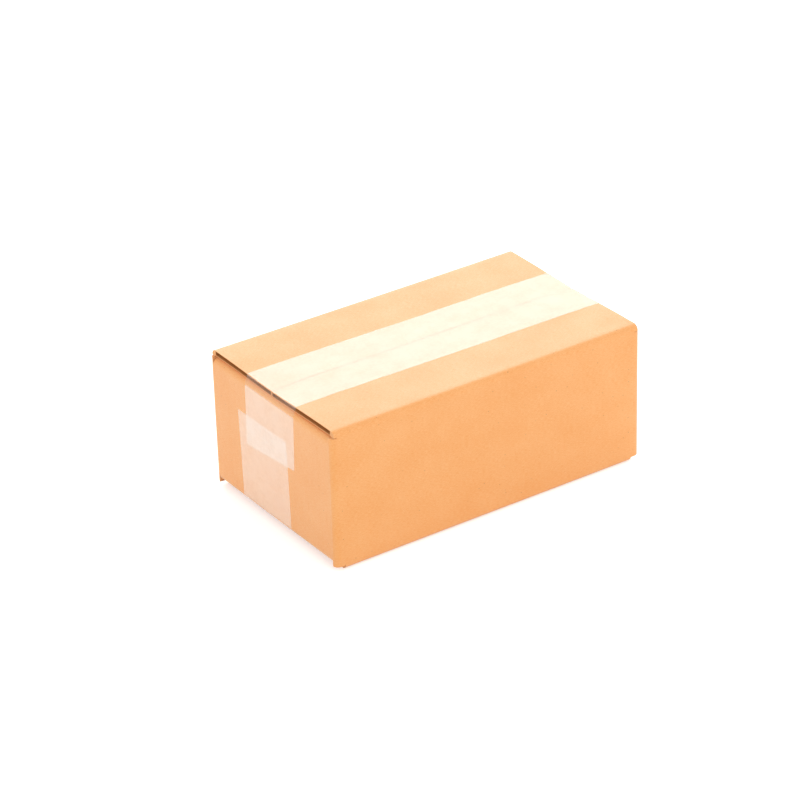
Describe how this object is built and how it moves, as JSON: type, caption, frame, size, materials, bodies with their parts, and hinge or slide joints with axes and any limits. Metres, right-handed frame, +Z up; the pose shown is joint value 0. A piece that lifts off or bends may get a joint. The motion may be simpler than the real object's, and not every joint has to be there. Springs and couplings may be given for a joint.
{
  "type": "closed cardboard box",
  "caption": "Small corrugated shipping carton, folded shut and sealed along its top and bottom seams with clear tape.",
  "frame": {"origin": "under the middle of the box, on the surface that it stands on", "axes": "+X along the box and its taped seams, +Y across it, +Z up"},
  "size_m": [0.2062, 0.121, 0.0856],
  "materials": {
    "kraft_board": "matt kraft liner",
    "clear_tape": "glossy clear film"
  },
  "bodies": {
    "root": {"carton": "kraft_board", "top_tape": "clear_tape", "bottom_tape": "clear_tape"}
  },
  "joints": []
}
